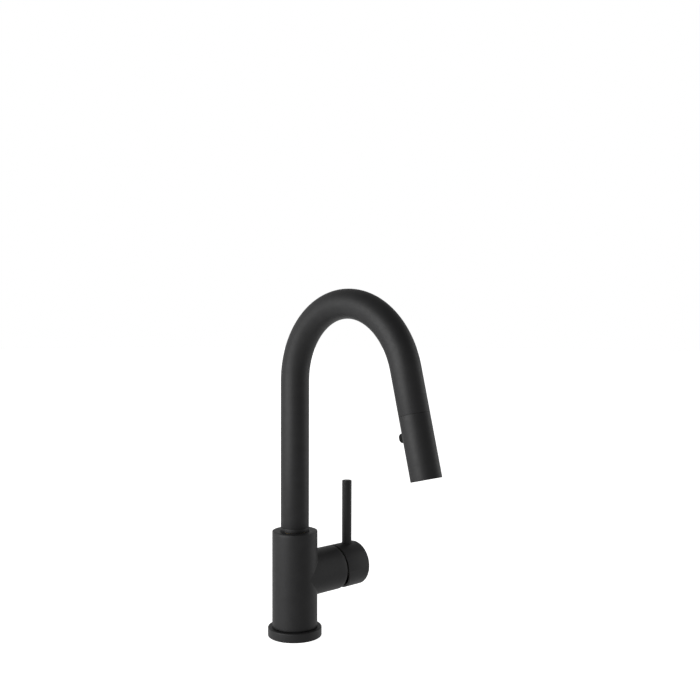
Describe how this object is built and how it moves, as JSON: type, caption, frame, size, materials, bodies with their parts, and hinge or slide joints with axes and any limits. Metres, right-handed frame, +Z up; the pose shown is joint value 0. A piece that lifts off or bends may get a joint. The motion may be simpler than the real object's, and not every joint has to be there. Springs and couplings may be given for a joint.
{
  "type": "pull-down kitchen faucet",
  "caption": "Pull-down kitchen faucet: gooseneck spout swivelling on a round body, side lever on a cross housing, and a push-button spray head that docks on a hose.",
  "frame": {"origin": "centre of the base flange's underside, on the worktop's surface and on the axis of the tap hole", "axes": "+Z up along the riser, -Y the way the spout reaches over the sink, +X the side of the lever"},
  "size_m": [0.1091, 0.2165, 0.4389],
  "materials": {
    "black_coating": "matte black powder coating on brass",
    "brass": "turned, uncoated",
    "stainless_steel": "turned or pressed, bright",
    "black_rubber": "moulded, matt",
    "gloss_black_polymer": "moulded, polished black",
    "black_polymer": "moulded, fine satin",
    "white_polymer": "moulded acetal, natural",
    "alumina_ceramic": "lapped ceramic",
    "ferrite_magnet": "sintered, dark grey",
    "nylon_braid": "tight grey nylon braid"
  },
  "bodies": {
    "faucet_body": {"body_shell": "black_coating", "base_flange": "black_coating", "deck_gasket": "black_rubber", "threaded_shank": "brass", "rubber_washer": "black_rubber", "steel_washer": "stainless_steel", "mounting_nut": "brass", "clamp_screw_1": "stainless_steel", "clamp_screw_2": "stainless_steel", "hot_inlet_nipple": "brass", "cold_inlet_nipple": "brass", "outlet_nipple": "brass", "upper_bush": "white_polymer", "lower_bush": "white_polymer", "spout_stop_screw": "stainless_steel", "cartridge_seal": "black_rubber", "cartridge_housing": "white_polymer", "fixed_disc": "alumina_ceramic", "bonnet_nut": "brass"},
    "spout": {"spout_tube": "black_coating", "spout_base_ring": "black_coating", "swivel_end": "brass", "swivel_seal_1": "black_rubber", "swivel_seal_2": "black_rubber", "docking_insert": "black_polymer", "docking_magnet": "ferrite_magnet", "pullout_hose": "nylon_braid", "hose_connector": "brass"},
    "hose_end": {"hose_ferrule": "stainless_steel"},
    "spray_head": {"head_shell": "black_coating", "docking_plate": "stainless_steel", "hose_nut": "brass", "hose_washer": "black_rubber", "filter_screen": "stainless_steel", "check_valve": "white_polymer", "diverter_body": "white_polymer", "face_plate": "black_polymer", "spray_nozzles": "black_rubber", "aerator_housing": "black_polymer", "aerator_screen": "stainless_steel", "button_spring": "stainless_steel"},
    "spray_button": {"spray_button": "gloss_black_polymer", "diverter_spool": "white_polymer"},
    "mixing_carrier": {"stem_guide": "white_polymer", "pivot_pin": "stainless_steel"},
    "handle": {"handle_cap": "black_coating", "lever_rod": "black_coating", "lever_spindle": "brass", "handle_set_screw": "stainless_steel", "set_screw_plug": "black_polymer"},
    "moving_disc": {"moving_disc": "alumina_ceramic"}
  },
  "joints": [
    {"name": "spout_swivel", "type": "hinge", "parent": "faucet_body", "child": "spout", "pos_m": [0, 0, 0.105], "axis": [0, 0, 1], "continuous": true},
    {"name": "spray_pull", "type": "slide", "parent": "spout", "child": "hose_end", "axis": [0, -0.2588, -0.9659], "range_m": [0, 0.17], "stiffness_N_per_m": 6, "springref_m": -0.4},
    {"name": "head_turn", "type": "hinge", "parent": "hose_end", "child": "spray_head", "pos_m": [0, -0.1762, 0.1789], "axis": [0, 0.2588, 0.9659], "continuous": true},
    {"name": "spray_button_press", "type": "slide", "parent": "spray_head", "child": "spray_button", "axis": [0, -0.9659, 0.2588], "range_m": [0, 0.0022], "stiffness_N_per_m": 400, "springref_m": -0.003, "deforming": ["button_spring"]},
    {"name": "handle_turn", "type": "hinge", "parent": "faucet_body", "child": "mixing_carrier", "pos_m": [0.04, 0, 0.0591], "axis": [1, 0, 0], "range_deg": [-45, 45]},
    {"name": "handle_tilt", "type": "hinge", "parent": "mixing_carrier", "child": "handle", "pos_m": [0.04, 0, 0.0591], "axis": [0, 1, 0], "range_deg": [0, 20]},
    {"name": "disc_slide", "type": "slide", "parent": "mixing_carrier", "child": "moving_disc", "axis": [0, 0, 1], "range_m": [0, 0.0021]}
  ],
  "couplings": [
    {"joint": "disc_slide", "follows": "handle_tilt", "m_per_rad": 0.006}
  ]
}
